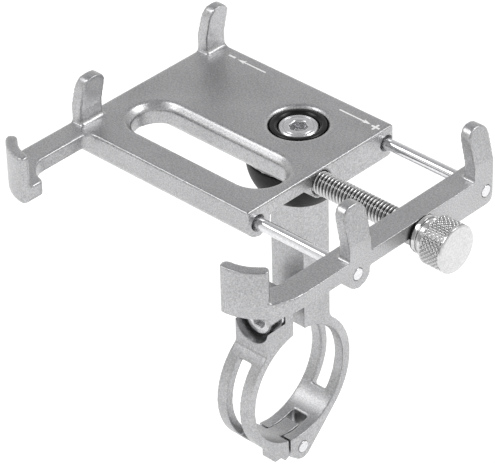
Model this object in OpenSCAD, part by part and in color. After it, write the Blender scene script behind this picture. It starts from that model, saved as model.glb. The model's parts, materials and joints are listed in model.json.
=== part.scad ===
// Phone mount for a handlebar: a tray with a screw-driven jaw, on a turning pivot and a hinged clamp.
// Frame: origin at the centre of the clamp's bore, X along the handlebar, Y across it, Z up.
// The jaw slides along X. The tray's hook and the jaw's claw hold the phone's lower edge, towards -Y.

/* [Handlebar clamp] */
// Diameter of the handlebar
bar_d = 31.8; // [25.4:0.1:35]
// Radial gap between the handlebar and the closed bore
bar_gap = 0.1; // [0:0.05:0.2]
// Wall of the ring round the bore
ring_wall = 2.5; // [2:0.1:4]
// Width of the ring along the handlebar
band_w = 11; // [9:0.1:16]
// Width of the slot that lightens each half of the ring
ring_slot_w = 4.4; // [2:0.1:6]
// Gap between the two legs of the clamp
leg_gap = 3.9; // [3:0.1:5]
// Thickness of the fixed leg and of the post above it
post_t = 9.3; // [8.5:0.1:14]
// Thickness of the swinging leg
arm_leg_t = 9.5; // [9.2:0.1:14]
// Height of the clamp bolt above the outside of the ring
bolt_rise = 3.6; // [1.5:0.1:4]
// Diameter of the clamp hinge pin
pin_d = 3.2; // [2.5:0.1:4]
// Radius of the hinge eyes round the pin
eye_r = 3.6; // [3:0.1:4]
// Width of the tongue that turns on the hinge pin
tongue_w = 4.6; // [3:0.1:6]

/* [Tray] */
// Height of the tray's top above the centre of the handlebar
tray_height = 71.4; // [64:0.1:100]
// Length of the tray along the jaw's travel
tray_len = 58.4; // [56:0.1:80]
// Width of the tray along the phone
tray_wid = 50.4; // [49:0.1:75]
// Distance from the pivot to the tray's face on the jaw side
tray_face = 17.4; // [16:0.1:24]
// Distance from the pivot to the tray's back edge
tray_back = 14.4; // [13.5:0.1:20]
// Thickness of the tray's plate
plate_t = 4; // [3:0.1:5]
// Height of the tray's outer walls and of the wall round its slot
skirt_h = 5.6; // [5.4:0.1:7]
// Height of the tray's rails, hub and blocks
rail_h = 8.2; // [8:0.1:10]
// Radius of the tray's long slot, at the top of its chamfer
slot_r = 7.9; // [6:0.1:7.9]
// Chamfer of the long slot
slot_chamfer = 1.65; // [0.5:0.05:2]
// Distance between the centres of the slot's round ends
slot_len = 33; // [20:0.1:33]

/* [Phone grips] */
// Height of the side tabs above the tray
tab_h = 13; // [10:0.5:24]
// Width of the front side tabs
mid_tab_w = 7.2; // [5:0.1:10]
// Width of the back side tabs
back_tab_w = 6.6; // [5:0.1:8]
// Lean of the side tabs over the phone
tab_lean = 14; // [0:1:20]
// Distance from the tray's front edge to the front of the hook and the claw
hook_reach = 27.5; // [24:0.1:40]
// Outer radius of the hook and the claw
hook_r = 13.2; // [11:0.1:15]
// Thickness of the hook's and the claw's wall
hook_wall = 2.9; // [2:0.1:3.6]
// Height of the hook and the claw above the tray
hook_h = 8.5; // [6:0.5:14]

/* [Sliding jaw] */
// Gap between the tray and the jaw as drawn
jaw_gap = 23.9; // [23.9:0.1:40]
// Thickness of the jaw's bar along its travel
jaw_t = 6.7; // [6:0.1:8]
// Diameter of the guide rods
rod_d = 3; // [2.5:0.1:4]
// Distance between the guide rods
rod_span = 44.4; // [44:0.1:52]
// Depth of the rods and the screw below the tray's top
rod_depth = 4.3; // [4.1:0.1:5]
// Length of the rods and the screw inside the tray as drawn
rod_engaged = 28.5; // [26:0.1:28.5]

/* [Screw and knob] */
// Outside diameter of the lead screw
screw_d = 5.8; // [5:0.1:6]
// Diameter of the knob
knob_d = 12; // [11:0.1:18]
// Length of the knob's knurled grip
knob_len = 6.8; // [6:0.1:14]
// Diameter of the knob's collar
collar_d = 9.6; // [8.5:0.1:10.5]
// Length of the knob's collar
collar_len = 2.9; // [2.5:0.1:5]

/* [Pivot] */
// Diameter of the pivot hole in the tray
pivot_hole_d = 14.2; // [13.8:0.1:15]
// Diameter of the pivot bolt's head
pivot_head_d = 10; // [9.5:0.1:10]
// Diameter of the pivot bolt
pivot_bolt_d = 6; // [5:0.1:6]
// Radius of the half-ball cup under the tray
cup_r = 12.9; // [11:0.1:15]
// Height of the cup
cup_h = 11; // [9:0.1:12]

/* [Hidden] */
$fn = 96;
eps = 0.01;

// Fits, each a radial or a side gap
run_gap = 0.05;
press_gap = 0.01;
thread_gap = 0.05;
side_gap = 0.1;
face_gap = 0.05;

// Clamp
bore_r = bar_d / 2 + bar_gap;
ring_r = bore_r + ring_wall;
leg_y = leg_gap / 2;
post_y = leg_y + post_t;
pivot_y = leg_y + post_t / 2;
bolt_z = ring_r + bolt_rise;
pin_y = 0.8;
pin_z = -(bore_r + eye_r + 0.6);
// The ears end this far from the pin, and the arm's shoulder stands clear of them
ear_len = eye_r + 0.9;
ear_end_y = pin_y - ear_len;
ear_low_z = pin_z - 1;
shoulder_y = ear_end_y - 0.55;
shoulder_low_z = pin_z - 0.2;
foot_y = shoulder_y - 1.4;
foot_z = pin_z - 0.9;
tongue_end_y = pin_y + 2;
window_end_y = pin_y + eye_r + 1.4;
slot_from = -39.5;
slot_to = 31;
arm_slot_from = 138.5;
arm_slot_to = 221.7;
post_fillet = 4;

// Clamp bolt: a low-head M5 screw
bolt_d = 5;
bolt_len = 12;
bolt_head_d = 8.5;
bolt_head_h = 3.5;
bolt_hex = 4;
bolt_hex_deep = 2.2;
bolt_hole_r = 2.75;
bolt_sink_r = 5.4;
bolt_sink_floor = 2.6;
washer_t = 1;
washer_r = 5;
// The fixed leg's hole lets the bolt leave on the arm's arc
bolt_swing_gap = 0.5;
arm_leg_top = bolt_z + bolt_sink_r + 1.2;

// Tray, in the pivot's frame: Z = 0 is the tray's top
tray_x0 = tray_face - tray_len;
tray_y0 = tray_back - tray_wid;
tray_corner = 1.2;
skirt_t = 3;
arm_w = 6.6;
rod_y_back = tray_back - 2.4;
rod_y_front = rod_y_back - rod_span;
screw_y = -(pivot_hole_d / 2 + 0.6 + screw_d / 2 + thread_gap);
rod_z = -rod_depth;
rail_r = rail_h - rod_depth;
bore_end_x = tray_x0 + 3.6;
rod_entry_r = rod_d / 2 + 0.5;
block_len = 10;
slot_inner_r = slot_r - slot_chamfer;
slot_y = screw_y - screw_d / 2 - thread_gap - 1 - slot_inner_r;
slot_x1 = tray_face - 2.9 - slot_r;
slot_x0 = slot_x1 - slot_len;
slot_wall = 1.6;

// Grips
hook_y = tray_y0 - hook_reach + hook_r;
tab_knee = 4;
tab_base_t = 3.4;
tab_top_t = 3.1;
tab_root = 2;
tab_fillet = 1.2;
tab_front_r = 2.8;
tab_back_r = 3.1;
mid_tab_y = tray_y0 + 0.9;
back_tab_y = tray_back - back_tab_w;
hook_drop = 3.2;
finger_tail = 0.3;
finger_angle = 223;
finger_round = min(1.2, hook_wall / 2 - 0.1);

// Jaw, in the pivot's frame
jaw_x0 = tray_face + jaw_gap;
jaw_x1 = jaw_x0 + jaw_t;
rod_x0 = tray_face - rod_engaged;

// Screw and knob
pitch = 1;
clip_t = 0.8;
clip_r = 3.4;
groove_r = 2.2;
// The clip sits in a recess of the jaw, behind the face towards the tray
clip_x0 = jaw_x0 + face_gap;
recess_r = clip_r + 0.1;
recess_t = clip_t + 2 * face_gap;
knob_washer_t = 0.5;
knob_washer_r = 4.6;
knob_x0 = jaw_x1 + knob_washer_t + 2 * face_gap;
knob_x1 = knob_x0 + collar_len + knob_len;
knob_chamfer = 0.8;
screw_end_inset = 1.5;
screw_tip_chamfer = 0.8;

// Pivot
hub_r = cup_r;
hub_floor_t = 2.2;
hub_hole_r = 4.6;
flange_r = pivot_hole_d / 2 - 0.15;
flange_top = 0.4;
head_top = 0.8;
head_h = 3.5;
head_sink_r = pivot_head_d / 2 + 0.15;
spring_t = 0.8;
pivot_hex = 4;
pivot_hex_deep = 2.4;
pivot_bolt_len = 20;
cup_top = rail_h + face_gap;
cup_bottom = cup_top + cup_h;
post_in_cup = 6;
post_top_z = tray_height - cup_bottom + post_in_cup;
socket_gap = 0.05;
head_seat = head_top + head_h + spring_t;
tap_depth = 3;

// ---- shared shapes ----

// Places its children in the pivot's frame, with Z = 0 at the tray's top
module at_pivot() {
    translate([0, pivot_y, tray_height]) children();
}

// A round bar along X from x0 to x1
module bar_x(r, x0, x1, y = 0, z = 0) {
    translate([x0, y, z]) rotate([0, 90, 0]) cylinder(r = r, h = x1 - x0);
}

// A cone along X, with radius ra at x0 and rb at x1
module cone_x(ra, rb, x0, x1, y = 0, z = 0) {
    translate([x0, y, z]) rotate([0, 90, 0]) cylinder(r1 = ra, r2 = rb, h = x1 - x0);
}

// A round bar along Y from y0 to y1
module bar_y(r, y0, y1, x = 0, z = 0) {
    translate([x, y1, z]) rotate([90, 0, 0]) cylinder(r = r, h = y1 - y0);
}

// Extrudes a drawing of the YZ plane along X, from x0 to x1
module extrude_yz(x0, x1) {
    translate([x0, 0, 0]) rotate([90, 0, 90]) linear_extrude(x1 - x0) children();
}

// Extrudes a drawing of the XZ plane along Y, from y0 to y1
module extrude_xz(y0, y1) {
    translate([0, y1, 0]) rotate([90, 0, 0]) linear_extrude(y1 - y0) children();
}

// A rectangle with round corners
module round_rect(x0, y0, x1, y1, r) {
    translate([x0 + r, y0]) square([x1 - x0 - 2 * r, y1 - y0]);
    translate([x0, y0 + r]) square([x1 - x0, y1 - y0 - 2 * r]);
    for (x = [x0 + r, x1 - r], y = [y0 + r, y1 - r]) {
        translate([x, y]) circle(r = r, $fn = 32);
    }
}

// The fill of an inside corner at the origin, towards +X and +Y
module corner_fill(r) {
    difference() {
        translate([-eps, -eps]) square(r + eps);
        translate([r, r]) circle(r = r, $fn = 48);
    }
}

// A wedge of the plane between two angles less than 180 apart, out to radius r
module wedge(from, to, r) {
    mid = (from + to) / 2;
    far = r / cos((to - from) / 4);
    polygon([[0, 0], far * [cos(from), sin(from)], far * [cos((from + mid) / 2), sin((from + mid) / 2)],
             far * [cos(mid), sin(mid)], far * [cos((mid + to) / 2), sin((mid + to) / 2)],
             far * [cos(to), sin(to)]]);
}

// A hexagonal socket across flats, cut from z = 0 down
module hex_socket(flats, deep) {
    translate([0, 0, -deep]) cylinder(d = flats / cos(30), h = deep + 1, $fn = 6);
}

// A side tab: its outer face is at x = 0 and it leans towards +X
module tab(y0, y1) {
    lean_x = (tab_h - tab_knee) * tan(tab_lean);
    intersection() {
        extrude_xz(y0, y1) polygon([[0, -tab_root], [tab_base_t, -tab_root], [tab_base_t, tab_knee],
                                    [lean_x + tab_top_t, tab_h], [lean_x, tab_h], [0, tab_knee]]);
        extrude_yz(-1, lean_x + tab_base_t + 2) {
            translate([y0, -tab_root]) square([y1 - y0, tab_h - tab_front_r + tab_root]);
            translate([y0 + tab_front_r, -tab_root]) {
                square([y1 - y0 - tab_front_r, tab_h - tab_back_r + tab_root]);
            }
            translate([y0 + tab_front_r, 0]) square([y1 - y0 - tab_front_r - tab_back_r, tab_h]);
            translate([y0 + tab_front_r, tab_h - tab_front_r]) circle(r = tab_front_r, $fn = 48);
            translate([y1 - tab_back_r, tab_h - tab_back_r]) circle(r = tab_back_r, $fn = 48);
        }
    }
    translate([tab_base_t, 0, 0]) extrude_xz(y0, y1) corner_fill(tab_fillet);
}

// Plan of everything left of a finger's straight end, with the end's two corners rounded
module finger_end(wall) {
    end_x = finger_tail - finger_round;
    outer_y = -hook_r + finger_round;
    inner_y = -hook_r + wall - finger_round;
    polygon(concat(
        [[-2 * hook_r, hook_r], [-2 * hook_r, -hook_r - 1]],
        [for (a = [-90 : 22.5 : 0]) [end_x + finger_round * cos(a), outer_y + finger_round * sin(a)]],
        [for (a = [0 : 22.5 : 90]) [end_x + finger_round * cos(a), inner_y + finger_round * sin(a)]],
        [[end_x, hook_r]]
    ));
}

// A curved finger for the phone's corner, round its own centre, opening towards +X
module finger(arm_width) {
    wall_mid = hook_r - hook_wall / 2;
    translate([0, 0, -plate_t]) linear_extrude(plate_t) difference() {
        intersection() {
            circle(r = hook_r);
            finger_end(arm_width);
        }
        circle(r = hook_r - arm_width);
        translate([-2 * hook_r, 0]) square(4 * hook_r);
    }
    translate([0, 0, -hook_drop]) linear_extrude(hook_drop + hook_h) {
        difference() {
            intersection() {
                circle(r = hook_r);
                finger_end(hook_wall);
                union() {
                    wedge(finger_angle, 270, hook_r);
                    translate([-eps, -hook_r - 1]) square([finger_tail + 1, hook_r + 1]);
                }
            }
            circle(r = hook_r - hook_wall);
        }
        rotate(finger_angle) translate([wall_mid, 0]) circle(r = hook_wall / 2 - 0.04, $fn = 48);
    }
}

// The outline, seen along X, that the tray's face and the jaw share
module rail_outline() {
    corner = 2;
    translate([tray_y0, -plate_t]) square([tray_wid, plate_t]);
    translate([tray_y0 + rail_r, rod_z]) circle(r = rail_r);
    translate([screw_y, rod_z]) circle(r = rail_r);
    translate([screw_y, -rail_h]) square([tray_back - corner - screw_y, rail_h]);
    translate([screw_y, corner - rail_h]) square([tray_back - screw_y, rail_h - corner]);
    translate([tray_back - corner, corner - rail_h]) circle(r = corner, $fn = 48);
}

// ---- clamp ----

// Ring between two radii, cut by a wedge, extruded across the band
module ring_half(right) {
    extrude_yz(-band_w / 2, band_w / 2) difference() {
        circle(r = ring_r);
        if (right) translate([-2 * ring_r, -2 * ring_r]) square([2 * ring_r, 4 * ring_r]);
        else translate([0, -2 * ring_r]) square([2 * ring_r, 4 * ring_r]);
    }
}

// Slot through one half of the ring
module ring_slot(from, to) {
    extrude_yz(-ring_slot_w / 2, ring_slot_w / 2) difference() {
        wedge(from, to, ring_r + 4);
        circle(r = bore_r - 1);
    }
}

// The hinge's ears: a flank that leaves the ring and the eye at a tangent, and a cut-off front corner
module lug() {
    flank = atan2(pin_z, pin_y) + acos((ring_r - eye_r) / norm([pin_y, pin_z]));
    eye_side = [pin_y, pin_z] + (eye_r - eps) * [cos(flank), sin(flank)];
    low_side = [pin_y, pin_z] + (eye_r - eps) * [cos(240), sin(240)];
    translate([pin_y, pin_z]) circle(r = eye_r);
    polygon([[pin_y, 0], [pin_y, pin_z], eye_side, (ring_r - eps) * [cos(flank), sin(flank)]]);
    polygon([[ear_end_y, -bore_r / 2], [ear_end_y, ear_low_z], low_side, [pin_y, pin_z],
             [pin_y, -bore_r / 2]]);
}

// Fill between the post's back face and the ring
module post_foot() {
    centre_y = post_y + post_fillet;
    centre_z = sqrt(pow(ring_r + post_fillet, 2) - pow(centre_y, 2));
    touch = (ring_r - 0.05) / (ring_r + post_fillet);
    difference() {
        polygon([[post_y - 1, centre_z], [centre_y, centre_z], touch * [centre_y, centre_z],
                 [post_y - 1, touch * centre_z]]);
        translate([centre_y, centre_z]) circle(r = post_fillet);
    }
}

module clamp_base() {
    color("silver") difference() {
        union() {
            ring_half(true);
            // Post and fixed leg in one
            translate([-band_w / 2, leg_y, 0]) cube([band_w, post_t, post_top_z]);
            extrude_yz(-band_w / 2, band_w / 2) {
                post_foot();
                lug();
            }
        }
        bar_x(bore_r, -band_w, band_w);
        ring_slot(slot_from, slot_to);
        // Nothing of the ring stays between the legs
        translate([-band_w, -2 * ring_r, 0]) cube([2 * band_w, 2 * ring_r + leg_y, 4 * ring_r]);
        // Window for the arm's tongue
        translate([-tongue_w / 2 - side_gap, ear_end_y - 1, pin_z - 2 * eye_r]) {
            cube([tongue_w + 2 * side_gap, window_end_y - ear_end_y + 1, 4 * eye_r]);
        }
        bar_x(pin_d / 2 + press_gap, -band_w, band_w, pin_y, pin_z);
        bar_y(bolt_d / 2 + bolt_swing_gap, 0, post_y + 1, 0, bolt_z);
        translate([0, pivot_y, tray_height - head_seat - pivot_bolt_len - tap_depth]) {
            cylinder(d = pivot_bolt_d + 2 * thread_gap, h = pivot_bolt_len + tap_depth);
        }
    }
}

// The arm's foot: a straight line that leaves the ring at a tangent, down to the shoulder
module foot() {
    far = norm([foot_y, foot_z]);
    leave = atan2(foot_z, foot_y) - acos(ring_r / far);
    polygon([[0, 0], (ring_r - eps) * [cos(leave), sin(leave)], [foot_y, foot_z],
             [shoulder_y, shoulder_low_z], [shoulder_y, 0]]);
}

module clamp_arm() {
    color("silver") difference() {
        union() {
            difference() {
                ring_half(false);
                translate([-band_w, shoulder_y, -2 * ring_r]) cube([2 * band_w, 2 * ring_r, 2 * ring_r]);
            }
            translate([-band_w / 2, -leg_y - arm_leg_t, 0]) cube([band_w, arm_leg_t, arm_leg_top]);
            extrude_yz(-band_w / 2, band_w / 2) foot();
            // Tongue round the pin
            extrude_yz(-tongue_w / 2, tongue_w / 2) {
                translate([pin_y, pin_z]) circle(r = eye_r);
                translate([shoulder_y - 2, pin_z - eye_r + 0.8]) {
                    square([pin_y - shoulder_y + 2, eye_r]);
                }
                translate([shoulder_y - 2, pin_z]) {
                    square([tongue_end_y - shoulder_y + 2, eye_r + 2]);
                }
            }
        }
        bar_x(bore_r, -band_w, band_w);
        ring_slot(arm_slot_from, arm_slot_to);
        translate([-band_w, -leg_y, 0]) cube([2 * band_w, 2 * ring_r, 4 * ring_r]);
        bar_x(pin_d / 2 + run_gap, -band_w, band_w, pin_y, pin_z);
        bar_y(bolt_hole_r, -2 * ring_r, 0, 0, bolt_z);
        bar_y(bolt_sink_r, -2 * ring_r, -leg_y - bolt_sink_floor, 0, bolt_z);
    }
}

module hinge_pin() {
    proud = 0.2;
    color("gainsboro") difference() {
        bar_x(pin_d / 2, -band_w / 2 - proud, band_w / 2 + proud, pin_y, pin_z);
        // Centre marks in both ends
        for (side = [-1, 1]) {
            translate([side * (band_w / 2 + proud), pin_y, pin_z]) sphere(r = 0.45, $fn = 32);
        }
    }
}

module clamp_bolt() {
    seat_y = -leg_y - bolt_sink_floor - washer_t;
    color("gray") translate([0, seat_y, bolt_z]) rotate([90, 0, 0]) {
        difference() {
            union() {
                cylinder(d = bolt_head_d, h = bolt_head_h - 0.4);
                translate([0, 0, bolt_head_h - 0.4]) {
                    cylinder(d1 = bolt_head_d, d2 = bolt_head_d - 0.8, h = 0.4);
                }
                translate([0, 0, 0.6 - bolt_len]) cylinder(d = bolt_d, h = bolt_len - 0.6 + eps);
                translate([0, 0, -bolt_len]) cylinder(d1 = bolt_d - 1.2, d2 = bolt_d, h = 0.6);
            }
            translate([0, 0, bolt_head_h]) hex_socket(bolt_hex, bolt_hex_deep);
        }
    }
}

module clamp_washer() {
    color("silver") translate([0, -leg_y - bolt_sink_floor, bolt_z]) rotate([90, 0, 0]) difference() {
        cylinder(r = washer_r, h = washer_t);
        translate([0, 0, -1]) cylinder(d = bolt_d + 2 * run_gap, h = washer_t + 2);
    }
}

// ---- pivot ----

module pivot_cup() {
    sphere_up = 0.6;
    color("dimgray") at_pivot() difference() {
        intersection() {
            translate([0, 0, -cup_top - sphere_up]) sphere(r = cup_r, $fn = 128);
            translate([0, 0, -cup_bottom]) cylinder(r = cup_r + 1, h = cup_h);
        }
        translate([0, 0, -cup_bottom - 1]) cylinder(d = pivot_bolt_d + 0.6, h = cup_h + 2);
        translate([-band_w / 2 - socket_gap, -post_t / 2 - socket_gap, -cup_bottom - 1]) {
            cube([band_w + 2 * socket_gap, post_t + 2 * socket_gap, post_in_cup + 1 + face_gap]);
        }
    }
}

module pivot_bushing() {
    floor_z = -(rail_h - hub_floor_t) + face_gap;
    color("black") at_pivot() difference() {
        union() {
            translate([0, 0, floor_z]) cylinder(r = flange_r, h = -flange_top - floor_z);
            translate([0, 0, -rail_h]) cylinder(r = hub_hole_r - run_gap, h = rail_h + floor_z + eps);
        }
        translate([0, 0, -rail_h - 1]) cylinder(d = pivot_bolt_d + 0.3, h = rail_h + 2);
        translate([0, 0, -head_seat]) cylinder(r = head_sink_r, h = head_seat + 1);
        translate([0, 0, -flange_top - 0.6]) {
            cylinder(r1 = head_sink_r, r2 = head_sink_r + 0.6, h = 0.6 + eps);
        }
    }
}

module pivot_spring_washer() {
    color("gray") at_pivot() translate([0, 0, -head_seat]) difference() {
        cylinder(d = pivot_head_d - 0.6, h = spring_t);
        translate([0, 0, -1]) cylinder(d = pivot_bolt_d + 0.3, h = spring_t + 2);
    }
}

module pivot_bolt() {
    color("silver") at_pivot() translate([0, 0, -head_top]) difference() {
        union() {
            translate([0, 0, -head_h]) cylinder(d = pivot_head_d, h = head_h - 0.5);
            translate([0, 0, -0.5]) cylinder(d1 = pivot_head_d, d2 = pivot_head_d - 1, h = 0.5);
            translate([0, 0, -head_h - spring_t - pivot_bolt_len + 0.8]) {
                cylinder(d = pivot_bolt_d, h = pivot_bolt_len + spring_t - 0.8 + eps);
            }
            translate([0, 0, -head_h - spring_t - pivot_bolt_len]) {
                cylinder(d1 = pivot_bolt_d - 1.6, d2 = pivot_bolt_d, h = 0.8);
            }
        }
        hex_socket(pivot_hex, pivot_hex_deep);
    }
}

// ---- tray ----

// The long slot with its chamfer, cut from below the tray up to its top
module slot_cut() {
    for (x = [slot_x0, slot_x1]) {
        translate([x, slot_y, -2 * rail_h]) cylinder(r = slot_inner_r, h = 3 * rail_h);
        translate([x, slot_y, -slot_chamfer]) {
            cylinder(r1 = slot_inner_r, r2 = slot_r + 1, h = slot_chamfer + 1);
        }
    }
    translate([slot_x0, slot_y - slot_inner_r, -2 * rail_h]) {
        cube([slot_len, 2 * slot_inner_r, 3 * rail_h]);
    }
    translate([0, slot_y, 0]) extrude_yz(slot_x0, slot_x1) {
        polygon([[-slot_inner_r, -slot_chamfer], [slot_inner_r, -slot_chamfer],
                 [slot_r + 1, 1], [-slot_r - 1, 1]]);
    }
}

// The plan outline of the wall round the long slot
module slot_rim() {
    for (x = [slot_x0, slot_x1]) {
        translate([x, slot_y]) circle(r = slot_inner_r + slot_wall);
    }
    translate([slot_x0, slot_y - slot_inner_r - slot_wall]) {
        square([slot_len, 2 * (slot_inner_r + slot_wall)]);
    }
}

module tray_blank() {
    // Plate
    translate([0, 0, -plate_t]) linear_extrude(plate_t) {
        round_rect(tray_x0, tray_y0, tray_face, tray_back, tray_corner);
    }
    // Outer walls, open on the jaw's side
    translate([0, 0, -skirt_h]) linear_extrude(skirt_h) difference() {
        round_rect(tray_x0, tray_y0, tray_face, tray_back, tray_corner);
        translate([tray_x0 + skirt_t, tray_y0 + skirt_t]) square([tray_len, tray_wid - 2 * skirt_t]);
    }
    translate([0, 0, -skirt_h]) linear_extrude(skirt_h) slot_rim();
    // Rails for the rods and the screw
    bar_x(rail_r, tray_x0 + tray_corner, tray_face, tray_y0 + rail_r, rod_z);
    bar_x(rail_r, tray_x0 + tray_corner, tray_face, screw_y, rod_z);
    extrude_yz(tray_x0 + tray_corner, tray_face) intersection() {
        rail_outline();
        translate([rod_y_back - rail_r, -2 * rail_h]) square(4 * rail_h);
    }
    extrude_yz(tray_face - block_len, tray_face) rail_outline();
    translate([0, 0, -rail_h]) cylinder(r = hub_r, h = rail_h);
}

module tray() {
    color("silver") at_pivot() {
        difference() {
            tray_blank();
            slot_cut();
            for (y = [rod_y_front, rod_y_back]) {
                bar_x(rod_d / 2 + run_gap, bore_end_x, tray_face + 1, y, rod_z);
                bar_x(rod_entry_r, tray_face - 1.2, tray_face + 1, y, rod_z);
            }
            bar_x(screw_d / 2 + thread_gap, bore_end_x, tray_face + 1, screw_y, rod_z);
            cone_x(screw_d / 2 + thread_gap, screw_d / 2 + 0.7, tray_face - 0.6, tray_face + eps,
                   screw_y, rod_z);
            translate([0, 0, -(rail_h - hub_floor_t)]) cylinder(d = pivot_hole_d, h = rail_h);
            translate([0, 0, -0.8]) {
                cylinder(r1 = pivot_hole_d / 2, r2 = pivot_hole_d / 2 + 0.9, h = 0.9);
            }
            translate([0, 0, -2 * rail_h]) cylinder(r = hub_hole_r, h = 2 * rail_h);
        }
        translate([tray_x0, 0, 0]) tab(mid_tab_y, mid_tab_y + mid_tab_w);
        translate([tray_x0, 0, 0]) tab(back_tab_y, tray_back);
        // Arm and hook
        translate([0, 0, -plate_t]) linear_extrude(plate_t) {
            translate([tray_x0, hook_y]) square([arm_w, tray_y0 - hook_y + tray_corner + 1]);
            translate([tray_x0 + arm_w, tray_y0]) mirror([0, 1]) corner_fill(2.5);
        }
        translate([tray_x0 + hook_r, hook_y, 0]) finger(arm_w);
    }
}

// ---- sliding jaw ----

module sliding_jaw() {
    color("silver") at_pivot() {
        difference() {
            union() {
                extrude_yz(jaw_x0, jaw_x1) rail_outline();
                translate([0, 0, -plate_t]) linear_extrude(plate_t) {
                    translate([jaw_x0, hook_y]) square([jaw_t, tray_y0 - hook_y + 1]);
                }
            }
            for (y = [rod_y_front, rod_y_back]) {
                bar_x(rod_d / 2 + press_gap, jaw_x0 - 1, jaw_x1 + 1, y, rod_z);
            }
            bar_x(screw_d / 2 + 0.15, jaw_x0 - 1, jaw_x1 + 1, screw_y, rod_z);
            bar_x(recess_r, jaw_x0 - 1, jaw_x0 + recess_t, screw_y, rod_z);
        }
        translate([jaw_x1, 0, 0]) mirror([1, 0, 0]) {
            tab(mid_tab_y, mid_tab_y + mid_tab_w);
            tab(back_tab_y, tray_back);
            translate([hook_r, hook_y, 0]) finger(jaw_t);
        }
    }
}

module guide_rod(y) {
    chamfer = 0.4;
    color("gainsboro") at_pivot() {
        bar_x(rod_d / 2, rod_x0 + chamfer, jaw_x1, y, rod_z);
        cone_x(rod_d / 2 - chamfer, rod_d / 2, rod_x0, rod_x0 + chamfer + eps, y, rod_z);
    }
}

module guide_rod_front() {
    guide_rod(rod_y_front);
}

module guide_rod_back() {
    guide_rod(rod_y_back);
}

module lead_screw() {
    tip_x = rod_x0 + screw_tip_chamfer;
    color("gainsboro") at_pivot() {
        difference() {
            bar_x(screw_d / 2, tip_x, knob_x1 - screw_end_inset, screw_y, rod_z);
            difference() {
                bar_x(screw_d, clip_x0 - face_gap, clip_x0 + clip_t + face_gap, screw_y, rod_z);
                bar_x(groove_r, clip_x0 - 1, clip_x0 + 2, screw_y, rod_z);
            }
        }
        cone_x(screw_d / 2 - screw_tip_chamfer, screw_d / 2, rod_x0, tip_x + eps, screw_y, rod_z);
    }
}

module thumb_knob() {
    grip_x0 = knob_x0 + collar_len;
    color("white") at_pivot() difference() {
        union() {
            bar_x(collar_d / 2, knob_x0, grip_x0 + eps, screw_y, rod_z);
            cone_x(knob_d / 2 - knob_chamfer, knob_d / 2, grip_x0, grip_x0 + knob_chamfer,
                   screw_y, rod_z);
            bar_x(knob_d / 2, grip_x0 + knob_chamfer, knob_x1 - knob_chamfer, screw_y, rod_z);
            cone_x(knob_d / 2, knob_d / 2 - knob_chamfer, knob_x1 - knob_chamfer, knob_x1,
                   screw_y, rod_z);
        }
        bar_x(screw_d / 2 + press_gap, knob_x0 - 1, knob_x1 - screw_end_inset + face_gap,
              screw_y, rod_z);
        // Groove that parts the collar from the washer's rim
        difference() {
            bar_x(collar_d, knob_x0 + 1, knob_x0 + 1.8, screw_y, rod_z);
            bar_x(collar_d / 2 - 0.6, knob_x0, knob_x0 + 3, screw_y, rod_z);
        }
    }
}

module knob_washer() {
    x0 = jaw_x1 + face_gap;
    color("dimgray") at_pivot() difference() {
        bar_x(knob_washer_r, x0, x0 + knob_washer_t, screw_y, rod_z);
        bar_x(screw_d / 2 + run_gap, x0 - 1, x0 + 2, screw_y, rod_z);
    }
}

module retaining_clip() {
    mouth = 3;
    color("gray") at_pivot() difference() {
        bar_x(clip_r, clip_x0, clip_x0 + clip_t, screw_y, rod_z);
        bar_x(groove_r + run_gap, clip_x0 - 1, clip_x0 + 2, screw_y, rod_z);
        // Mouth, so that it springs open over the screw
        translate([clip_x0 - 1, screw_y - mouth / 2, rod_z - 2 * clip_r]) {
            cube([clip_t + 2, mouth, 2 * clip_r]);
        }
    }
}

clamp_base();
clamp_arm();
hinge_pin();
clamp_bolt();
clamp_washer();
pivot_cup();
pivot_bushing();
pivot_spring_washer();
pivot_bolt();
tray();
sliding_jaw();
guide_rod_front();
guide_rod_back();
lead_screw();
thumb_knob();
knob_washer();
retaining_clip();
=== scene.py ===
# %% [markdown]
# # A phone holder for a handlebar
# The holder is a die-cast aluminium tray with a jaw that a thumb screw draws in, on a turning
# pivot above a hinged ring clamp. The working shapes come from the CAD model. Blender adds what
# the eye expects of the real one: edges rounded by the casting die and the blasting, cut threads,
# a knurled grip, engraved marks and the finishes of the metals.

# %% Tools and the CAD model
import json
import math

import bmesh
import bpy
import numpy as np
from mathutils import Matrix, Vector


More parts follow.
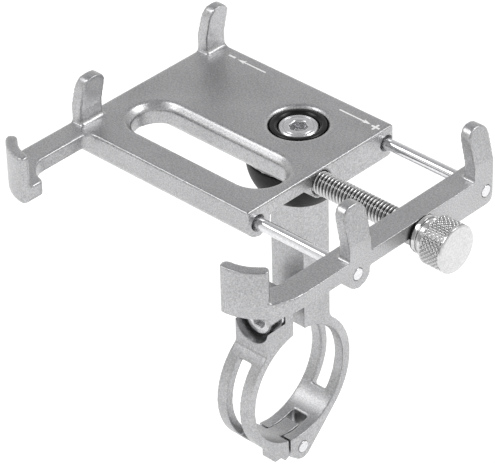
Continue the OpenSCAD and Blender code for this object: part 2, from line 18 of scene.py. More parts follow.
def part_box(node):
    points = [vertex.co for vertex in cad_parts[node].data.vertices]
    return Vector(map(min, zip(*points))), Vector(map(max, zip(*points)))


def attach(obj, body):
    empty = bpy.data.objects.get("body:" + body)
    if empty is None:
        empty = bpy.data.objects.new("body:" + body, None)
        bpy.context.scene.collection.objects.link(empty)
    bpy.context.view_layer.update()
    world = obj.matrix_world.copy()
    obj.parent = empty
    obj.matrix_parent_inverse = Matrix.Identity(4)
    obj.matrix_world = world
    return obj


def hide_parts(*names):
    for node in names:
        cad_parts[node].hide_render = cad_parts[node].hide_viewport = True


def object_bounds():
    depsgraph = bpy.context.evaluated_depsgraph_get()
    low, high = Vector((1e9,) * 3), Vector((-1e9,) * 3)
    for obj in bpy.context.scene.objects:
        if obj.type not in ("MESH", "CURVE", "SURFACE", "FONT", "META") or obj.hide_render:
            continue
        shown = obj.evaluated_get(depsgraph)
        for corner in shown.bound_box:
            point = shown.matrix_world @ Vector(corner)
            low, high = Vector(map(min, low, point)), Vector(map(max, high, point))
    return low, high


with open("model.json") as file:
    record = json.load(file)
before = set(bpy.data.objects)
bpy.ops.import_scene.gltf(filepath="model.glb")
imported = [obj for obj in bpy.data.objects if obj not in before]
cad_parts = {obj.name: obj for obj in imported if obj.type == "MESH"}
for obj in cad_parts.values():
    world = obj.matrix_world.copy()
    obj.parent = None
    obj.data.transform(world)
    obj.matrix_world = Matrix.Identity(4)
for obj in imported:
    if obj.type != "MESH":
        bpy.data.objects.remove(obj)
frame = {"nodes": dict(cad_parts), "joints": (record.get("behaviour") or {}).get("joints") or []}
cad_box = [[float(v) for v in corner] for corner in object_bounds()]
nodes = frame["nodes"]
MM = 0.001
joints = {joint["name"]: joint for joint in frame["joints"]}
pivot = np.array(joints["cradle_turn"]["pos_m"])
print("nodes:", len(nodes), " pivot on the tray's top, mm:", (pivot / MM).round(2))

# %% [markdown]
# ## The camera
# A long lens from about three quarters of a metre keeps the far tabs nearly as large as the near
# ones. The camera looks down on the tray from the side of the jaw, and leans a little.

# %% Camera
AZIMUTH, ELEVATION, ROLL = (math.radians(angle) for angle in (44.24, 34.66, -1.54))
DISTANCE, ASIDE, BELOW = 758 * MM, 12.05 * MM, 25.99 * MM
back = Vector((math.sin(AZIMUTH) * math.cos(ELEVATION),
               -math.cos(AZIMUTH) * math.cos(ELEVATION), math.sin(ELEVATION)))
level = Vector((math.cos(AZIMUTH), math.sin(AZIMUTH), 0))
upright = back.cross(level)
right = level * math.cos(ROLL) + upright * math.sin(ROLL)
up = upright * math.cos(ROLL) - level * math.sin(ROLL)
eye = Vector(pivot) + back * DISTANCE - right * ASIDE - up * BELOW

camera = bpy.data.objects.new("camera", bpy.data.cameras.new("camera"))
camera.data.sensor_fit = "HORIZONTAL"
camera.data.sensor_width = 36
camera.data.lens = 232.65
camera.data.clip_start = 0.01
camera.matrix_world = Matrix.Translation(eye) @ Matrix((right, up, back)).transposed().to_4x4()
bpy.context.scene.collection.objects.link(camera)
bpy.context.scene.camera = camera
print("camera, mm:", [round(v / MM) for v in eye])

# %% [markdown]
# ## The studio
# Satin metal shows the room more than it shows lamps. The room here is pale low down and darker
# overhead, so upright faces come out bright and the tray's flat top stays a middle grey. The room
# is a colour ramp on the height of each direction, which is simpler than walls and has no corners.

# %% Room
def linear(colour):
    """
    Linear RGBA of an sRGB hex colour.

    c / 12.92 for c up to 0.04045, and ((c + 0.055) / 1.055) ** 2.4 above it.
    """
    c = np.array([int(colour[i:i + 2], 16) for i in (1, 3, 5)]) / 255
    return (*np.where(c <= 0.04045, c / 12.92, ((c + 0.055) / 1.055) ** 2.4).tolist(), 1.0)


def add(tree, kind, values=None, links=None, **settings):
    """Adds one node: settings are its own, values go into its inputs, links join inputs to outputs."""
    made = tree.nodes.new(kind)
    for key, value in settings.items():
        setattr(made, key, value)
    for key, value in (values or {}).items():
        made.inputs[key].default_value = value
    for key, output in (links or {}).items():
        tree.links.new(output, made.inputs[key])
    return made


def ramp(node, stops):
    """Sets a colour ramp's stops, each a place and a colour."""
    while len(node.color_ramp.elements) < len(stops):
        node.color_ramp.elements.new(0.5)
    for element, (place, colour) in zip(node.color_ramp.elements, stops):
        element.position = place
        element.color = colour


world = bpy.data.worlds.new("room")
bpy.context.scene.world = world
world.use_nodes = True
room = world.node_tree
room.nodes.clear()
where = add(room, "ShaderNodeTexCoord")
height = add(room, "ShaderNodeSeparateXYZ", links={"Vector": where.outputs["Generated"]})
walls = add(room, "ShaderNodeValToRGB", links={"Fac": height.outputs["Z"]})
ramp(walls, [(0.0, linear("#dcdcdc")), (0.3, linear("#cccccc")), (0.6, linear("#b6b6b7")),
             (1.0, linear("#8c8c8e"))])
glow = add(room, "ShaderNodeBackground", {"Strength": 1.4}, {"Color": walls.outputs["Color"]})
add(room, "ShaderNodeOutputWorld", links={"Surface": glow.outputs["Background"]})

bpy.context.scene.view_settings.view_transform = "Standard"
print("room:", len(walls.color_ramp.elements), "shades from the floor to overhead")

# %% [markdown]
# ## Soft boxes
# Each box stands where a rounded edge mirrors it to the camera and no flat face does. The front
# one lights the edges towards the hook, and the side one those towards the knob. Both are high, so
# the tray's top doesn't turn into a white mirror when the mount is seen from low on another side.

# %% Soft boxes
BOX_DISTANCE, BOX_SIZE = 0.7, 0.3
centre = (Vector(cad_box[0]) + Vector(cad_box[1])) / 2


def soft_box(name, azimuth, elevation, watts):
    """
    A square lamp that faces the object.

    Its place is centre + distance * (sin a cos e, -cos a cos e, sin e).
    """
    a, e = math.radians(azimuth), math.radians(elevation)
    towards = Vector((math.sin(a) * math.cos(e), -math.cos(a) * math.cos(e), math.sin(e)))
    lamp = bpy.data.objects.new(name, bpy.data.lights.new(name, "AREA"))
    lamp.data.size = BOX_SIZE
    lamp.data.energy = watts
    lamp.location = centre + towards * BOX_DISTANCE
    lamp.rotation_euler = towards.to_track_quat("Z", "Y").to_euler()
    bpy.context.scene.collection.objects.link(lamp)


soft_box("front_box", -45, 54, 1.1)
soft_box("side_box", 136, 52, 1.4)
print("two soft boxes,", BOX_SIZE, "m square")

# %% [markdown]
# ## The table
# A white table throws light up under the tray. It lies 30 mm below the clamp, so that the clamp's
# hinged half has room to hang down when it is open. A faint glow of its own stands for all the
# light that a white studio throws about.

# %% Table
TABLE_REACH, TABLE_DROP = 6.0, 30 * MM
corners = np.array([(-1, -1), (1, -1), (1, 1), (-1, 1)]) * TABLE_REACH
table_z = cad_box[0][2] - TABLE_DROP
sheet = bpy.data.meshes.new("table")
sheet.from_pydata([(x, y, table_z) for x, y in corners.tolist()], [], [(0, 1, 2, 3)])
table = bpy.data.objects.new("table", sheet)
bpy.context.scene.collection.objects.link(table)
white = bpy.data.materials.new("white_table_paint")
white.use_nodes = True
paint = white.node_tree.nodes["Principled BSDF"].inputs
paint["Base Color"].default_value = linear("#f4f4f4")
paint["Roughness"].default_value = 0.8
paint["Emission Color"].default_value = linear("#ffffff")
paint["Emission Strength"].default_value = 0.36
sheet.materials.append(white)
print("table at", round(table_z / MM, 1), "mm")

# %% [markdown]
# ## Materials
# Every finish starts from its metal: a base colour, how rough the surface was left, and a pattern
# at the size of the mark that the tool or the blasting grit leaves. All patterns read object
# coordinates, which are metres, so a scale of 1000 is one feature a millimetre.

# %% A material and its grain
CLOUD_MM, CLOUD_SHARE = 14, 0.25


def new_material(name, colour, metallic, roughness):
    """A material with one Principled shader: returns it, its tree, and the shader."""
    material = bpy.data.materials.new(name)
    material.use_nodes = True
    shader = material.node_tree.nodes["Principled BSDF"]
    shader.inputs["Base Color"].default_value = linear(colour)
    shader.inputs["Metallic"].default_value = metallic
    shader.inputs["Roughness"].default_value = roughness
    return material, material.node_tree, shader


def grain(tree, shader, size_mm, dark, light, rough, depth_mm, detail=3.0):
    """
    Speckle of one grain size: colour from dark to light, roughness between two values, and a bump.

    The colour's place on its ramp is speckle + 0.25 * cloud, where cloud is a noise 14 mm broad.
    """
    place = add(tree, "ShaderNodeTexCoord").outputs["Object"]
    speckle = add(tree, "ShaderNodeTexNoise", {"Scale": 1 / (size_mm * MM), "Detail": detail},
                  {"Vector": place})
    cloud = add(tree, "ShaderNodeTexNoise", {"Scale": 1 / (CLOUD_MM * MM), "Detail": 2.0},
                {"Vector": place})
    both = add(tree, "ShaderNodeMath", {1: CLOUD_SHARE},
               {0: cloud.outputs["Fac"], 2: speckle.outputs["Fac"]}, operation="MULTIPLY_ADD")
    tone = add(tree, "ShaderNodeValToRGB", links={"Fac": both.outputs[0]})
    ramp(tone, [(0.44, linear(dark)), (0.82, linear(light))])
    gloss = add(tree, "ShaderNodeMapRange", {"To Min": rough[0], "To Max": rough[1]},
                {"Value": speckle.outputs["Fac"]})
    bump = add(tree, "ShaderNodeBump", {"Strength": 0.5, "Distance": depth_mm * MM},
               {"Height": speckle.outputs["Fac"]})
    tree.links.new(tone.outputs["Color"], shader.inputs["Base Color"])
    tree.links.new(gloss.outputs["Result"], shader.inputs["Roughness"])
    tree.links.new(bump.outputs["Normal"], shader.inputs["Normal"])


# %% [markdown]
# ## Marks of the lathe, and painted shade in the grooves
# Two patterns follow a turned surface. Each point of a turned mesh carries how deep its groove is
# and how far the tool had travelled when it cut it, so painted groove shade and tool rings can be
# drawn from those two numbers, and they stay in place when the piece turns.

# %% Painted groove shade and tool rings
def darken(tree, shader, amount, colour):
    """Mixes a colour over the base colour: base * (1 - amount) + colour * amount."""
    factor, base, over, mixed = 0, 6, 7, 2
    mix = add(tree, "ShaderNodeMix", data_type="RGBA")
    tree.links.new(amount, mix.inputs[factor])
    tree.links.new(shader.inputs["Base Color"].links[0].from_socket, mix.inputs[base])
    mix.inputs[over].default_value = linear(colour)
    tree.links.new(mix.outputs[mixed], shader.inputs["Base Color"])


def paint_groove_shade(tree, shader, colour):
    """Painted shade: darkens the grooves by each point's groove value, 0 to 1."""
    depth = add(tree, "ShaderNodeAttribute", attribute_name="groove").outputs["Fac"]
    darken(tree, shader, depth, colour)


def tool_rings(tree, shader, spacing_mm, colour, share):
    """
    Rings that a turning tool leaves: amount = share * (1 + sin(2 pi * feed / spacing)) / 2.

    feed is each point's own distance along the profile, in mm.
    """
    feed = add(tree, "ShaderNodeAttribute", attribute_name="feed").outputs["Fac"]
    angle = add(tree, "ShaderNodeMath", {1: 2 * math.pi / spacing_mm}, {0: feed}, operation="MULTIPLY")
    wave = add(tree, "ShaderNodeMath", links={0: angle.outputs[0]}, operation="SINE")
    amount = add(tree, "ShaderNodeMath", {1: share / 2, 2: share / 2}, {0: wave.outputs[0]},
                 operation="MULTIPLY_ADD")
    darken(tree, shader, amount.outputs[0], colour)


# %% [markdown]
# ## Metals
# The castings are aluminium, bead-blasted and clear anodised: a pale grey metal with a fine, even
# sparkle. Real bead marks are about 0.1 mm; 0.35 mm is the finest that still shows. The rods are
# silver steel, centreless ground and polished, nearly a mirror. The screw and the knob have bright
# nickel plate over the marks of the lathe, and the bolts are turned from stainless bar.

# %% Aluminium and steel
blasted_aluminium, tree, shader = new_material("blasted_anodised_aluminium", "#b4b4b5", 1.0, 0.42)
grain(tree, shader, 0.35, "#9e9e9f", "#c8c8c9", (0.28, 0.4), 0.03)

# Ground rod: faint cloudiness only.
ground_steel, tree, shader = new_material("ground_polished_steel", "#e4e4e5", 1.0, 0.06)
grain(tree, shader, 0.6, "#d8d8da", "#ececed", (0.03, 0.1), 0.002)

# Nickel plate: softer than the rod. The plate half fills the tool rings, drawn 0.5 mm apart.
nickel_plate, tree, shader = new_material("bright_nickel_plate", "#e2e2e1", 1.0, 0.12)
grain(tree, shader, 0.5, "#cccccc", "#e2e2e1", (0.08, 0.18), 0.004)
# Painted shade darkens the grooves of the thread and the knurl.
paint_groove_shade(tree, shader, "#262626")
tool_rings(tree, shader, 0.5, "#b0b0b0", 0.2)

# Stainless bolts: rings left by the cutting tool, drawn 0.35 mm apart so that they show.
turned_steel, tree, shader = new_material("turned_stainless_steel", "#e0e0e1", 1.0, 0.28)
grain(tree, shader, 0.4, "#d0d0d2", "#e6e6e7", (0.2, 0.32), 0.01)
# Painted shade darkens the thread grooves.
paint_groove_shade(tree, shader, "#303030")
tool_rings(tree, shader, 0.35, "#9a9a9c", 0.35)
print("metals:", blasted_aluminium.name, ground_steel.name, nickel_plate.name, turned_steel.name)

# %% [markdown]
# ## Plastics and engraving
# The bush and the knob's washer are plain nylon. The cup under the tray is nylon filled with glass
# fibre, which makes its surface matt. The marks on the tray are burnt in by a laser.

# %% Nylon, cup and engraving
# Moulded black nylon: a soft shine with the faint orange peel of the mould.
black_nylon, tree, shader = new_material("moulded_black_nylon", "#060606", 0.0, 0.25)
grain(tree, shader, 0.8, "#030303", "#0b0b0b", (0.18, 0.32), 0.008)
shader.inputs["Specular IOR Level"].default_value = 0.3

# Glass-filled nylon cup, moulded in a spark-eroded tool: dark grey, matt and finely grained.
filled_nylon, tree, shader = new_material("moulded_grey_glass_nylon", "#1d1d1e", 0.0, 0.45)
grain(tree, shader, 0.4, "#09090a", "#131314", (0.38, 0.55), 0.03)
shader.inputs["Specular IOR Level"].default_value = 0.2

# Laser engraving burns the anodised skin to a white, chalky oxide.
engraving, tree, shader = new_material("laser_engraved_oxide", "#f0f0f0", 0.0, 0.6)
grain(tree, shader, 0.3, "#dcdcdc", "#fbfbfb", (0.5, 0.7), 0.01)
print("others:", black_nylon.name, filled_nylon.name, engraving.name)

# %% [markdown]
# ## Castings
# A die casting has no sharp edge: the die, the trimming and the blasting leave every corner with
# a radius of half a millimetre or so, and that radius is what catches the light. The CAD solids
# have true corners. A voxel remesh gives them an even skin of small quads, and a few rounds of
# smoothing wear the corners down while the flat faces stay flat. Smoothing also draws a bore in a
# little, so the skin is then etched back by 0.05 mm and the rods and pins keep their room.

# %% Rounded castings
ETCH = 0.05


def cast(name, voxel_mm, rounds, material, etch_mm=ETCH):
    """
    Rounds a CAD node's edges with live modifiers, and moves its skin inwards by etch_mm.

    The edge radius comes out at about voxel * sqrt(rounds / 2).
    """
    part = nodes[name]
    skin = part.modifiers.new("skin", "REMESH")
    skin.mode = "VOXEL"
    skin.voxel_size = voxel_mm * MM
    skin.use_smooth_shade = True
    wear = part.modifiers.new("wear", "SMOOTH")
    wear.factor = 0.5
    wear.iterations = rounds
    etch = part.modifiers.new("etch", "DISPLACE")
    etch.direction = "NORMAL"
    etch.mid_level = 0.0
    etch.strength = -etch_mm * MM
    part.data.materials.clear()
    part.data.materials.append(material)
    print(name, "edge radius about", round(voxel_mm * math.sqrt(rounds / 2), 2), "mm")


cast("tray", 0.37, 5, blasted_aluminium)
cast("sliding_jaw", 0.3, 6, blasted_aluminium)
cast("clamp_base", 0.3, 4, blasted_aluminium)
cast("clamp_arm", 0.28, 4, blasted_aluminium)
cast("pivot_cup", 0.3, 6, filled_nylon)
cast("retaining_clip", 0.12, 2, turned_steel, etch_mm=0.0)

# %% [markdown]
# ## Turned pieces
# Screws, rods, rings and washers come off a lathe, so each is one profile carried round an axis.
# A cut function takes metal away where a thread or a knurl is, and the profile's radius can turn
# from round to six-sided, which makes the socket for the key.

# %% Profiles
def eased(corners, ease):
    """
    Rounds a profile's corners, each with five points.

    A corner C becomes (1-t)^2 A + 2t(1-t) C + t^2 B, with A and B on its two sides, ease away.
    """
    corners = np.array(corners, float)
    before, corner, after = corners[:-2], corners[1:-1], corners[2:]
    length = [np.linalg.norm((side - corner)[:, :2], axis=1, keepdims=True) for side in (before, after)]
    reach = np.minimum(ease, 0.4 * np.minimum(*length))
    start = corner + (before - corner) * reach / np.maximum(length[0], 1e-9)
    end = corner + (after - corner) * reach / np.maximum(length[1], 1e-9)
    t = np.linspace(0, 1, 5)[None, :, None]
    arcs = (1 - t) ** 2 * start[:, None] + 2 * t * (1 - t) * corner[:, None] + t ** 2 * end[:, None]
    return np.vstack([corners[:1], arcs.reshape(-1, 3), corners[-1:]])


def closed(mesh):
    """Closes poles and seams, turns the faces outwards and shades them smooth."""
    work = bmesh.new()
    work.from_mesh(mesh)
    bmesh.ops.remove_doubles(work, verts=work.verts, dist=1e-7)
    bmesh.ops.recalc_face_normals(work, faces=work.faces)
    work.to_mesh(mesh)
    work.free()
    mesh.polygons.foreach_set("use_smooth", np.ones(len(mesh.polygons), bool))
    mesh.update()


def node_mm(name):
    """Middle and size of a CAD node's box, in mm."""
    low, high = (np.array(corner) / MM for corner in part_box(name))
    return (low + high) / 2, high - low


# %% The lathe
# Cut depth in mm at which the painted groove shade is full.
GROOVE_FULL_SHADE_MM = 0.6


def turned(name, rows, centre, axis, material, body, stands_for, around=96, cut=None,
           cut_from=0.0):
    """
    A profile carried round an axis, all in mm.

    Row (r, h, x) gives the ring r * (1 - x + x / cos(s)) at the height h, where s is the angle from
    the middle of the nearest of six flats. cut(h, angle) is the depth that a tool takes off where
    the radius is over cut_from.
    """
    r, h, six = np.array(rows, float).T[:, :, None]
    angle = np.linspace(0, 2 * np.pi, around, endpoint=False)[None, :]
    flat = (angle + np.pi / 6) % (np.pi / 3) - np.pi / 6
    radius = r * (1 - six + six / np.cos(flat))
    taken = np.where(r > cut_from, cut(h, angle), 0.0) if cut else 0 * radius
    radius = radius - taken
    axis = np.array(axis, float)
    side = np.array([0.0, 0.0, 1.0]) if abs(axis[2]) < 0.5 else np.array([1.0, 0.0, 0.0])
    other = np.cross(axis, side)
    across = (radius * np.cos(angle))[..., None] * side + (radius * np.sin(angle))[..., None] * other
    points = np.array(centre) + MM * (h[..., None] * axis + across)
    row, column = np.meshgrid(np.arange(len(rows) - 1), np.arange(around), indexing="ij")
    here, beside = row * around + column, row * around + (column + 1) % around
    faces = np.stack([here, beside, beside + around, here + around], -1).reshape(-1, 4)
    mesh = bpy.data.meshes.new(name)
    mesh.from_pydata(points.reshape(-1, 3), [], faces)
    # The groove value sets the painted groove shade: the cut's depth over the full-shade depth.
    groove = mesh.attributes.new("groove", "FLOAT", "POINT").data
    groove.foreach_set("value", (taken / GROOVE_FULL_SHADE_MM).ravel())
    step = np.hypot(np.diff(r[:, 0]), np.diff(h[:, 0]))
    travelled = np.broadcast_to(np.append(0.0, np.cumsum(step))[:, None], radius.shape)
    mesh.attributes.new("feed", "FLOAT", "POINT").data.foreach_set("value", travelled.ravel())
    closed(mesh)
    piece = bpy.data.objects.new(name, mesh)
    bpy.context.scene.collection.objects.link(piece)
    piece.modifiers.new("flat_faces", "WEIGHTED_NORMAL")
    mesh.materials.append(material)
    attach(piece, body)
    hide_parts(stands_for)
    print(name, len(mesh.polygons), "faces")
    return piece

# %% [markdown]
# ## Rods and hinge pin
# The jaw runs on two ground rods. Their ends are pressed flush into the jaw and show as bright
# discs; the hidden ends have a small chamfer.

# %% Rods and pin
X, Y, Z = np.eye(3)


def plain_rod(name, node_name, body, chamfer):
    """
    A round bar along X the size of its CAD node, with a chamfer c at both ends.

    Profile: (0, 0), (r - c, 0), (r, c), (r, L - c), (r - c, L), (0, L).
    """
    middle, size = node_mm(node_name)
    radius, length = size[2] / 2, size[0]
    rows = eased([(0, 0, 0), (radius - chamfer, 0, 0), (radius, chamfer, 0),
                  (radius, length - chamfer, 0), (radius - chamfer, length, 0), (0, length, 0)], 0.1)
    start = (middle - X * length / 2) * MM
    return turned(name, rows, start, X, ground_steel, body, node_name, around=64)


plain_rod("front_rod", "guide_rod_front", "jaw", 0.12)
plain_rod("back_rod", "guide_rod_back", "jaw", 0.12)
plain_rod("clamp_hinge_pin", "hinge_pin", "base", 0.2)

# %% [markdown]
# ## Threads
# A thread is a groove that winds round the bar once for each pitch, so its depth depends only on
# height / pitch - angle / full turn. The lead screw is M6 with a 1 mm pitch, as deep as 0.61 of
# the pitch; the clamp bolt is M5 with 0.8 mm.

# %% Threads
THREAD_DEEP, THREAD_RUN_OUT = 0.61, 0.6


def thread(pitch, first, last):
    """
    The cut of a thread: depth 0.61 * pitch * (1 - wave) * fade.

    wave is 1 on the crest and 0 in the groove: |2 * turn - 1| stretched by 1.3 and clipped, which
    leaves a flat on both. fade lets the groove run out over 0.6 of a pitch at both ends.
    """
    def cut(h, angle):
        turn = (h / pitch - angle / (2 * np.pi)) % 1
        wave = np.clip(1.3 * np.abs(2 * turn - 1) - 0.15, 0, 1)
        run_out = THREAD_RUN_OUT * pitch
        fade = np.clip((h - first) / run_out, 0, 1) * np.clip((last - h) / run_out, 0, 1)
        return THREAD_DEEP * pitch * (1 - wave) * fade
    return cut


def stretch(first, last, step):
    """Heights from first to last, step apart, for the rows of a threaded stretch."""
    return np.linspace(first, last, int(round((last - first) / step)) + 1)


# %% [markdown]
# ## Lead screw
# The screw ends in a plain neck with a groove for the retaining clip, inside the jaw. The rest is
# thread, with fourteen rings of points to each pitch.

# %% Lead screw
SCREW_PITCH, TIP, CLIP_GROOVE_R, CLIP_GROOVE_HALF = 1.0, 0.8, 2.2, 0.45
middle, size = node_mm("lead_screw")
screw_r, screw_length = size[1] / 2, size[0]
clip_middle, _ = node_mm("retaining_clip")
groove = clip_middle[0] - (middle[0] - screw_length / 2)
thread_end = groove - 0.8
heights = stretch(TIP, thread_end, SCREW_PITCH / 14)
rows = np.vstack([
    [(0, 0, 0), (screw_r - TIP, 0, 0)],
    np.column_stack([np.full_like(heights, screw_r), heights, np.zeros_like(heights)]),
    [(screw_r, groove - 0.5, 0), (CLIP_GROOVE_R, groove - CLIP_GROOVE_HALF, 0),
     (CLIP_GROOVE_R, groove + CLIP_GROOVE_HALF, 0), (screw_r, groove + 0.5, 0),
     (screw_r, screw_length, 0), (0, screw_length, 0)]])
turned("lead_screw_m6", rows, (middle - X * screw_length / 2) * MM, X, nickel_plate, "thumbscrew",
       "lead_screw", around=60, cut=thread(SCREW_PITCH, TIP, thread_end))

# %% [markdown]
# ## The knob
# The knob is turned from bar. Two knurling wheels cross on it and leave small pyramids: each wheel
# cuts grooves along one diagonal, and what stays is the lower of the two ridges.

# %% Knurled knob
middle, size = node_mm("thumb_knob")
knob_r, knob_length = size[1] / 2, size[0]
collar_length, collar_r, neck_r = 2.9, 4.8, 4.2
chamfer, face_chamfer = 0.6, 0.35
socket_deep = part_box("lead_screw")[1].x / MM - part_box("thumb_knob")[0].x / MM + 0.02
KNURLS, KNURL_PITCH, KNURL_DEPTH = 30, 1.25, 0.34
grip_from, grip_to = collar_length + 0.55, knob_length - 0.75


def knurl(h, angle):
    """Depth d * (1 - min(a, b, 0.7) / 0.7), with a and b triangle waves along the two diagonals."""
    ridges = [np.abs(2 * ((KNURLS * angle / (2 * np.pi) + way * h / KNURL_PITCH) % 1) - 1)
              for way in (1, -1)]
    top = np.minimum(np.minimum(*ridges), 0.7) / 0.7
    fade = np.clip((h - grip_from) / 0.15, 0, 1) * np.clip((grip_to - h) / 0.15, 0, 1)
    return KNURL_DEPTH * (1 - top) * fade


heights = stretch(grip_from, grip_to, 0.11)
rows = np.vstack([
    eased([(0, socket_deep, 0), (screw_r, socket_deep, 0), (screw_r, 0, 0), (collar_r, 0, 0),
           (collar_r, 1, 0), (neck_r, 1.05, 0), (neck_r, 1.75, 0), (collar_r, 1.8, 0),
           (collar_r, collar_length, 0), (knob_r - chamfer, collar_length, 0),
           (knob_r, grip_from - 0.1, 0), (knob_r, grip_from, 0)], 0.12),
    np.column_stack([np.full_like(heights, knob_r), heights, np.zeros_like(heights)]),
    eased([(knob_r, grip_to, 0), (knob_r, knob_length - 0.3, 0),
           (knob_r - face_chamfer, knob_length, 0), (0, knob_length, 0)], 0.12)])
turned("knurled_knob", rows, (middle - X * knob_length / 2) * MM, X, nickel_plate, "thumbscrew",
       "thumb_knob", around=300, cut=knurl, cut_from=knob_r - 0.1)

# %% [markdown]
# ## Washers
# A washer is a closed profile: up the outside, back down the hole. A closed loop needs no poles.

# %% Washers
def ring(name, node_name, axis, inner, ease, material, body):
    """A washer the size of its CAD node: profile (i, 0), (o, 0), (o, t), (i, t) and closed."""
    middle, size = node_mm(node_name)
    thick = float(np.abs(size @ axis))
    outer = size[2] / 2 if abs(axis[2]) < 0.5 else size[0] / 2
    rows = eased([(inner, 0.3 * thick, 0), (inner, 0, 0), (outer, 0, 0), (outer, thick, 0),
                  (inner, thick, 0), (inner, 0.3 * thick, 0)], ease)
    return turned(name, rows, (middle - np.array(axis) * thick / 2) * MM, axis, material, body,
                  node_name)


ring("nylon_washer", "knob_washer", X, screw_r + 0.05, 0.12, black_nylon, "jaw")
ring("bolt_washer", "clamp_washer", -Y, 2.55, 0.2, turned_steel, "bolt_washer")
ring("spring_washer", "pivot_spring_washer", Z, 3.15, 0.15, turned_steel, "base")

# %% [markdown]
# ## Socket screws
# The pivot and the clamp are each held by a socket head screw. The socket is broached: six flats
# with a lead-in, and a floor.

# %% Pivot bolt and clamp bolt
def socket_screw(name, node_name, axis, head_h, head_r, socket, deep, steps, body, pitch):
    """
    A screw the size of its CAD node, from its tip to the floor of its socket.

    Profile: tip, threaded shank, head, then the face. The face may step down, by steps of a radius
    and a depth, to a hexagon socket, given across its flats, with a lead-in 0.25 deep.
    """
    middle, size = node_mm(node_name)
    length = float(np.abs(size @ axis))
    shank_r = 2.5 if pitch < 1 else 3.0
    top, seat, half, rim = length, length - head_h, socket / 2, 0.45
    tip, thread_top = 0.6, seat - 0.5
    heights = stretch(tip, thread_top, pitch / 10)
    face = [(head_r, top - rim, 0), (head_r - rim, top, 0)]
    for step_r, step_h in steps:
        face += [(step_r + 0.15, face[-1][1], 0), (step_r, top - step_h, 0)]
    level, floor = face[-1][1], top - deep
    rows = np.vstack([
        [(0, 0, 0), (shank_r - tip, 0, 0)],
        np.column_stack([np.full_like(heights, shank_r), heights, np.zeros_like(heights)]),
        eased([(shank_r, seat - 0.4, 0), (shank_r, seat, 0), (head_r, seat, 0), *face,
               (half + 0.5, level, 0), (half, level - 0.25, 1), (half, floor, 1),
               (half * 0.6, floor - 0.4, 0.3), (0, floor - 0.6, 0)], 0.14)])
    groove = thread(pitch, tip, seat - 0.6)

    def cut(h, angle):
        """The thread's depth on the shank, and none on the head."""
        return groove(h, angle) * (h < thread_top)

    return turned(name, rows, (middle - np.array(axis) * length / 2) * MM, axis, turned_steel, body,
                  node_name, cut=cut)


face_steps = [(4.2, 0.3), (3.6, 0.05)]
socket_screw("pivot_socket_bolt", "pivot_bolt", Z, 3.5, 5.0, 4.0, 2.4, face_steps, "base", 1.0)
socket_screw("clamp_socket_bolt", "clamp_bolt", -Y, 3.5, 4.25, 4.0, 2.2, [], "bolt", 0.8)

# %% [markdown]
# ## The black ring
# A nylon bush lets the tray turn on the bolt. What shows of it is its flange: a glossy black ring
# with a rounded lip outside and a bevel towards the bolt's head.

# %% Pivot bush
middle, size = node_mm("pivot_bushing")
bush_r, bush_h = size[0] / 2, size[2]
seat_r, neck_r, neck_h, hole_r = 5.15, 4.55, 2.25, 3.15
seat_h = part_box("pivot_spring_washer")[0].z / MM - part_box("pivot_bushing")[0].z / MM
lip, bevel, start_h = 0.3, 0.6, 0.5
rows = eased([(hole_r, start_h, 0), (hole_r, 0, 0), (neck_r, 0, 0), (neck_r, neck_h, 0),
              (bush_r, neck_h, 0), (bush_r, bush_h - lip, 0), (bush_r - lip, bush_h, 0),
              (seat_r + bevel, bush_h, 0), (seat_r, bush_h - bevel, 0), (seat_r, seat_h, 0),
              (hole_r, seat_h, 0), (hole_r, start_h, 0)], 0.25)
turned("pivot_bush", rows, (middle - Z * bush_h / 2) * MM, Z, black_nylon, "base",
       "pivot_bushing", around=128)

# %% [markdown]
# ## Marks
# The tray carries a minus and an arrow where the jaw opens and a plus and an arrow where it
# closes. They are burnt into the surface, so each is a thin plate set into the etched top of the
# tray, 0.02 mm proud of it.

# %% Engraved arrows and signs
tray_high = np.array(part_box("tray")[1]) / MM
face_x, back_y, top_z = tray_high[0], tray_high[1], pivot[2] / MM
MARK_PROUD, SIGN_WIDE = 0.02, 0.6


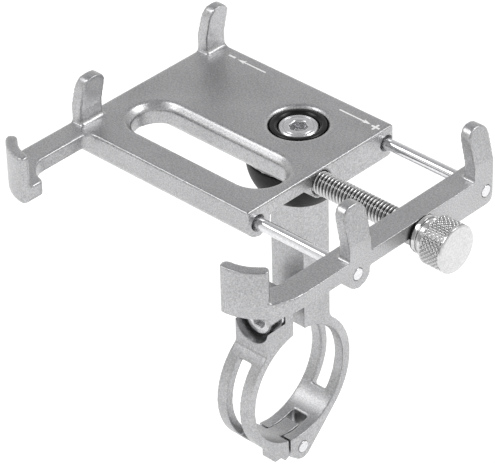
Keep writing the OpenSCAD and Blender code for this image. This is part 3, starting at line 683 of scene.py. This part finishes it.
def engraved(name, outlines):
    """Plates of the outlines (x, y), from inside the tray to MARK_PROUD above its etched top."""
    points, faces = [], []
    for outline in outlines:
        flat = np.array(outline, float)
        n, first = len(flat), sum(len(p) for p in points)
        levels = [np.column_stack([flat, np.full(n, top_z + lift)])
                  for lift in (-2 * ETCH, MARK_PROUD - ETCH)]
        points.append(np.vstack(levels))
        i = np.arange(n)
        faces += [tuple(first + i[::-1]), tuple(first + n + i)]
        faces += [tuple(int(v) for v in side) for side in
                  first + np.column_stack([i, (i + 1) % n, (i + 1) % n + n, i + n])]
    mesh = bpy.data.meshes.new(name)
    mesh.from_pydata(np.vstack(points) * MM, [], [tuple(int(v) for v in f) for f in faces])
    mesh.update()
    mesh.materials.append(engraving)
    piece = bpy.data.objects.new(name, mesh)
    bpy.context.scene.collection.objects.link(piece)
    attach(piece, "cradle")
    print(name, len(outlines), "outlines")


def bar(x, y, long, wide):
    """A rectangle round (x, y)."""
    return [(x - long / 2, y - wide / 2), (x + long / 2, y - wide / 2),
            (x + long / 2, y + wide / 2), (x - long / 2, y + wide / 2)]


def plus(x, y, long, wide):
    """A twelve-cornered cross round (x, y)."""
    a, b = long / 2, wide / 2
    return np.array([(-a, -b), (-b, -b), (-b, -a), (b, -a), (b, -b), (a, -b), (a, b), (b, b), (b, a),
                     (-b, a), (-b, b), (-a, b)]) + (x, y)


def arrow(tip, y, length, way):
    """An arrow along X that points way (1 or -1): a head 2.6 long and 1.5 wide on a 0.45 shaft."""
    head, half, shaft = 2.6, 0.75, 0.225
    shape = np.array([(0, 0), (-head, half), (-0.8 * head, shaft), (-length, shaft), (-length, -shaft),
                      (-0.8 * head, -shaft), (-head, -half)]) * (way, 1) + (tip, y)
    return shape[::-1] if way < 0 else shape


engraved("open_mark", [bar(face_x - 49.8, back_y - 3.1, 2.2, SIGN_WIDE),
                       arrow(face_x - 47.8, back_y - 3.2, 9.3, -1)])
engraved("close_mark", [arrow(face_x - 3.9, back_y - 3.7, 10.0, 1),
                        plus(face_x - 2.3, back_y - 3.9, 2.5, SIGN_WIDE)])
